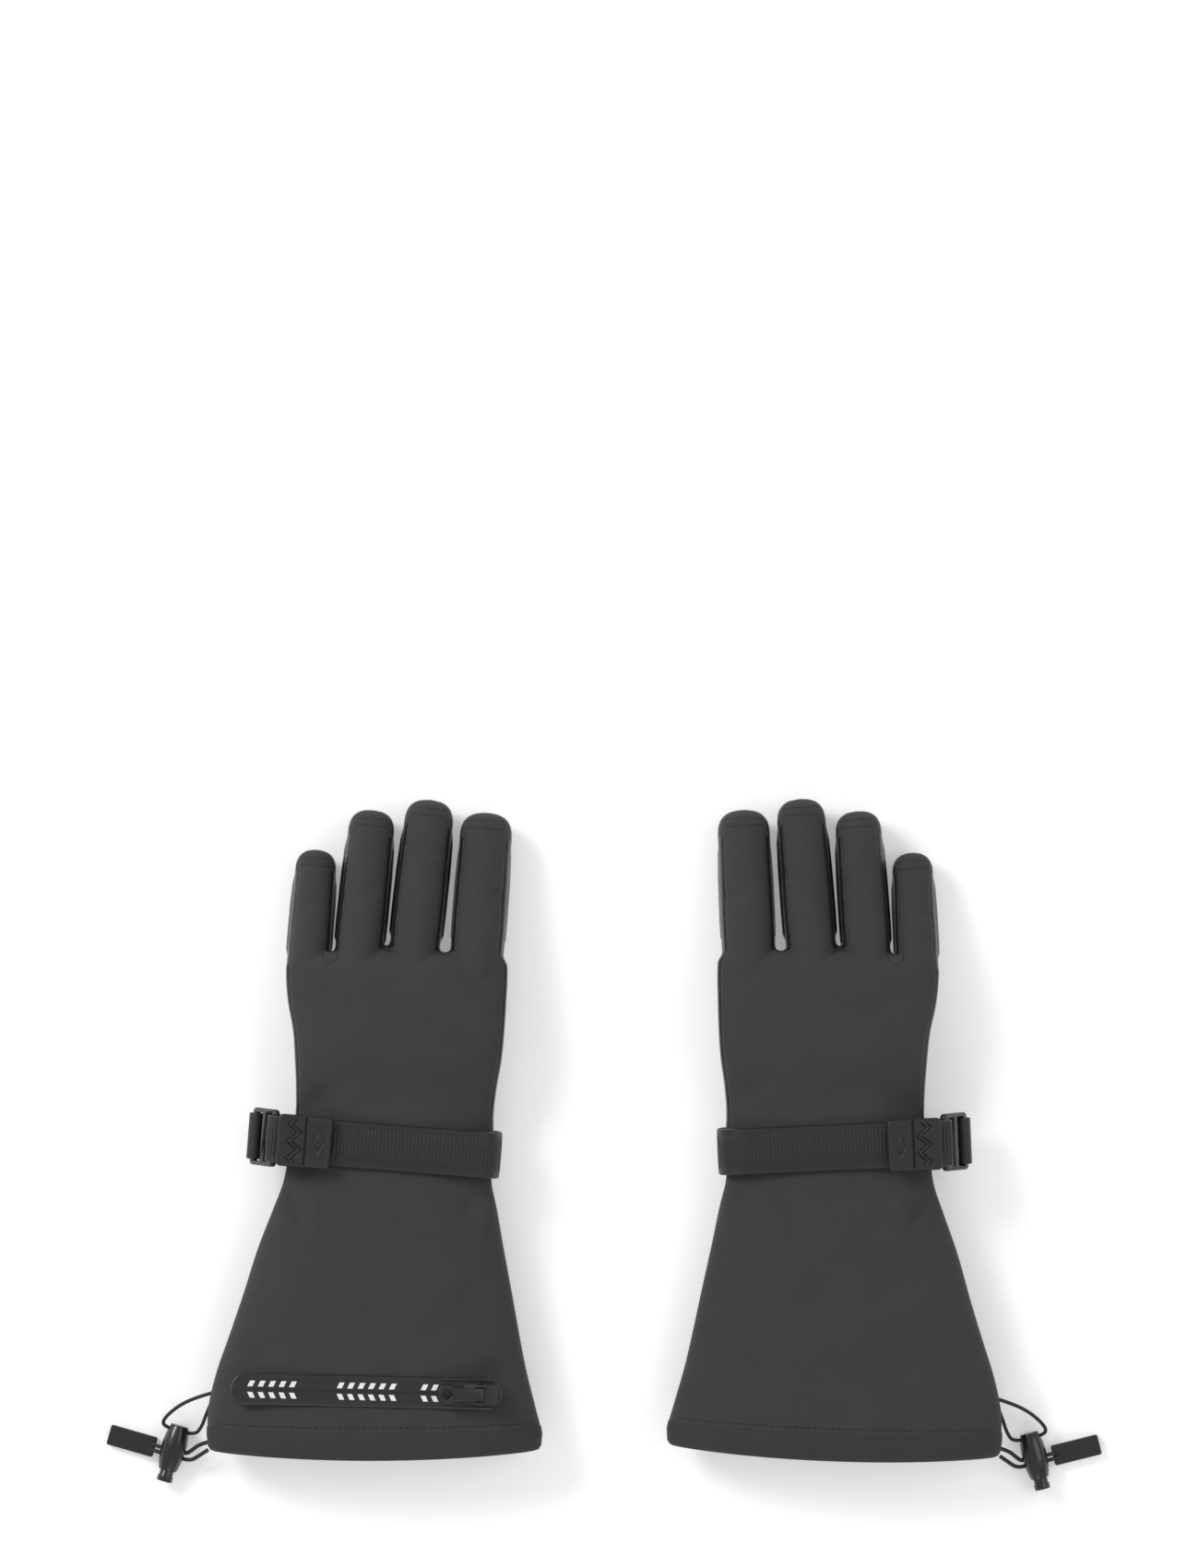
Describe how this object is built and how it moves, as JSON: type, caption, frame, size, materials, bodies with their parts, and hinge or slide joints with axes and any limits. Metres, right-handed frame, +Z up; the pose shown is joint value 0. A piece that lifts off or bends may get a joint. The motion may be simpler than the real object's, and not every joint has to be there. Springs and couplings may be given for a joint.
{
  "type": "insulated gauntlet gloves",
  "caption": "Insulated five-finger gauntlet gloves lying palm down, with wide cuffs, buckled wrist straps, hem drawcords with cord locks and a zipped cuff pocket on the left glove.",
  "frame": {"origin": "centre of the underside of the pair as it lies, cords and their locks left out", "axes": "+X from the left glove to the right glove, +Y from the cuffs to the fingertips, +Z up off the surface the palms lie on"},
  "size_m": [0.5388, 0.3739, 0.053],
  "materials": {
    "softshell": "matte charcoal softshell weave",
    "palm_leather": "black leather with a soft shine",
    "lining": "brushed dark pile",
    "webbing": "ribbed woven webbing",
    "elastic_cord": "braided elastic",
    "buckle_plastic": "glossy black moulded plastic",
    "grip_rubber": "moulded rubber",
    "zip_tape": "coated water-resistant tape",
    "zip_metal": "black painted metal",
    "spring_steel": "bare spring wire"
  },
  "bodies": {
    "left_gauntlet": {"left_gauntlet_shell": "softshell", "left_gauntlet_lining": "lining", "left_hem_band": "softshell", "left_wrist_strap": "webbing", "left_drawcord": "elastic_cord", "left_tether": "elastic_cord", "left_cord_lock_barrel": "buckle_plastic", "left_cord_lock_spring": "spring_steel", "left_cord_pull_tab": "grip_rubber", "left_zip_tape": "zip_tape"},
    "left_hand": {"left_back_shell": "softshell", "left_palm_shell": "palm_leather", "left_hand_lining": "lining"},
    "left_little_finger": {"left_little_finger_shell": "softshell", "left_little_finger_lining": "lining"},
    "left_ring_finger": {"left_ring_finger_shell": "softshell", "left_ring_finger_lining": "lining"},
    "left_middle_finger": {"left_middle_finger_shell": "softshell", "left_middle_finger_lining": "lining"},
    "left_index_finger": {"left_index_finger_shell": "softshell", "left_index_finger_lining": "lining"},
    "left_thumb": {"left_thumb_shell": "palm_leather", "left_thumb_lining": "lining"},
    "left_buckle": {"left_strap_buckle": "buckle_plastic"},
    "left_strap_tail": {"left_strap_tail": "webbing", "left_strap_tab": "grip_rubber"},
    "left_cord_plunger": {"left_cord_lock_plunger": "buckle_plastic"},
    "right_gauntlet": {"right_gauntlet_shell": "softshell", "right_gauntlet_lining": "lining", "right_hem_band": "softshell", "right_wrist_strap": "webbing", "right_drawcord": "elastic_cord", "right_tether": "elastic_cord", "right_cord_lock_barrel": "buckle_plastic", "right_cord_lock_spring": "spring_steel", "right_cord_pull_tab": "grip_rubber"},
    "right_hand": {"right_back_shell": "softshell", "right_palm_shell": "palm_leather", "right_hand_lining": "lining"},
    "right_little_finger": {"right_little_finger_shell": "softshell", "right_little_finger_lining": "lining"},
    "right_ring_finger": {"right_ring_finger_shell": "softshell", "right_ring_finger_lining": "lining"},
    "right_middle_finger": {"right_middle_finger_shell": "softshell", "right_middle_finger_lining": "lining"},
    "right_index_finger": {"right_index_finger_shell": "softshell", "right_index_finger_lining": "lining"},
    "right_thumb": {"right_thumb_shell": "palm_leather", "right_thumb_lining": "lining"},
    "right_buckle": {"right_strap_buckle": "buckle_plastic"},
    "right_strap_tail": {"right_strap_tail": "webbing", "right_strap_tab": "grip_rubber"},
    "right_cord_plunger": {"right_cord_lock_plunger": "buckle_plastic"},
    "left_zip_slider": {"left_zip_slider": "zip_metal"},
    "left_zip_pull": {"left_zip_pull": "zip_metal"}
  },
  "joints": [
    {"name": "left_wrist_bend", "type": "hinge", "parent": "left_gauntlet", "child": "left_hand", "pos_m": [-0.1117, 0.0153, 0.024], "axis": [-1, 0, 0], "range_deg": [-25, 35]},
    {"name": "left_little_bend", "type": "hinge", "parent": "left_hand", "child": "left_little_finger", "pos_m": [-0.1606, 0.0813, 0.03], "axis": [-0.9972, 0.075, 0], "range_deg": [-10, 70]},
    {"name": "left_ring_bend", "type": "hinge", "parent": "left_hand", "child": "left_ring_finger", "pos_m": [-0.1334, 0.0873, 0.03], "axis": [-0.9952, 0.0976, 0], "range_deg": [-10, 70]},
    {"name": "left_middle_bend", "type": "hinge", "parent": "left_hand", "child": "left_middle_finger", "pos_m": [-0.1032, 0.0903, 0.03], "axis": [-0.9943, 0.1063, 0], "range_deg": [-10, 70]},
    {"name": "left_index_bend", "type": "hinge", "parent": "left_hand", "child": "left_index_finger", "pos_m": [-0.0694, 0.0873, 0.03], "axis": [-0.9973, 0.0732, 0], "range_deg": [-10, 70]},
    {"name": "left_thumb_fold", "type": "hinge", "parent": "left_hand", "child": "left_thumb", "pos_m": [-0.05914, 0.03455, 0.0145], "axis": [-0.5, -0.866, 0], "range_deg": [0, 60]},
    {"name": "left_buckle_tilt", "type": "hinge", "parent": "left_gauntlet", "child": "left_buckle", "pos_m": [-0.18834, -0.0019, 0.0225], "axis": [-0.0785, -0.9969, 0], "range_deg": [0, 35]},
    {"name": "left_tail_lift", "type": "hinge", "parent": "left_buckle", "child": "left_strap_tail", "pos_m": [-0.17764, -0.00275, 0.0353], "axis": [-0.0785, -0.9969, 0], "range_deg": [0, 80]},
    {"name": "left_plunger_press", "type": "slide", "parent": "left_gauntlet", "child": "left_cord_plunger", "axis": [0.2756, 0.9613, 0], "range_m": [0, 0.003], "stiffness_N_per_m": 250},
    {"name": "right_glove_lift", "type": "slide", "parent": "left_gauntlet", "child": "right_gauntlet", "axis": [0, 0, 1], "range_m": [0, 0.2]},
    {"name": "right_wrist_bend", "type": "hinge", "parent": "right_gauntlet", "child": "right_hand", "pos_m": [0.1178, 0.0153, 0.024], "axis": [-0.9994, 0.0349, 0], "range_deg": [-25, 35]},
    {"name": "right_little_bend", "type": "hinge", "parent": "right_hand", "child": "right_little_finger", "pos_m": [0.16897, 0.07955, 0.03], "axis": [-0.9992, -0.0401, 0], "range_deg": [-10, 70]},
    {"name": "right_ring_bend", "type": "hinge", "parent": "right_hand", "child": "right_ring_finger", "pos_m": [0.142, 0.0865, 0.03], "axis": [-0.998, -0.0628, 0], "range_deg": [-10, 70]},
    {"name": "right_middle_bend", "type": "hinge", "parent": "right_hand", "child": "right_middle_finger", "pos_m": [0.11192, 0.09055, 0.03], "axis": [-0.9974, -0.0715, 0], "range_deg": [-10, 70]},
    {"name": "right_index_bend", "type": "hinge", "parent": "right_hand", "child": "right_index_finger", "pos_m": [0.07804, 0.08873, 0.03], "axis": [-0.9993, -0.0384, 0], "range_deg": [-10, 70]},
    {"name": "right_thumb_fold", "type": "hinge", "parent": "right_hand", "child": "right_thumb", "pos_m": [0.06595, 0.03637, 0.0145], "axis": [-0.4695, 0.8829, 0], "range_deg": [0, 60]},
    {"name": "right_buckle_tilt", "type": "hinge", "parent": "right_gauntlet", "child": "right_buckle", "pos_m": [0.19379, -0.00457, 0.0225], "axis": [-0.0436, 0.999, 0], "range_deg": [0, 35]},
    {"name": "right_tail_lift", "type": "hinge", "parent": "right_buckle", "child": "right_strap_tail", "pos_m": [0.18307, -0.00504, 0.0353], "axis": [-0.0436, 0.999, 0], "range_deg": [0, 80]},
    {"name": "right_plunger_press", "type": "slide", "parent": "right_gauntlet", "child": "right_cord_plunger", "axis": [-0.2419, 0.9703, 0], "range_m": [0, 0.003], "stiffness_N_per_m": 250},
    {"name": "left_zip_slide", "type": "slide", "parent": "left_gauntlet", "child": "left_zip_slider", "axis": [-0.9997, 0.0227, 0], "range_m": [0, 0.118]},
    {"name": "left_zip_pull_turn", "type": "hinge", "parent": "left_zip_slider", "child": "left_zip_pull", "pos_m": [-0.06627, -0.1397, 0.051], "axis": [0.0227, 0.9997, 0], "range_deg": [0, 150]}
  ]
}
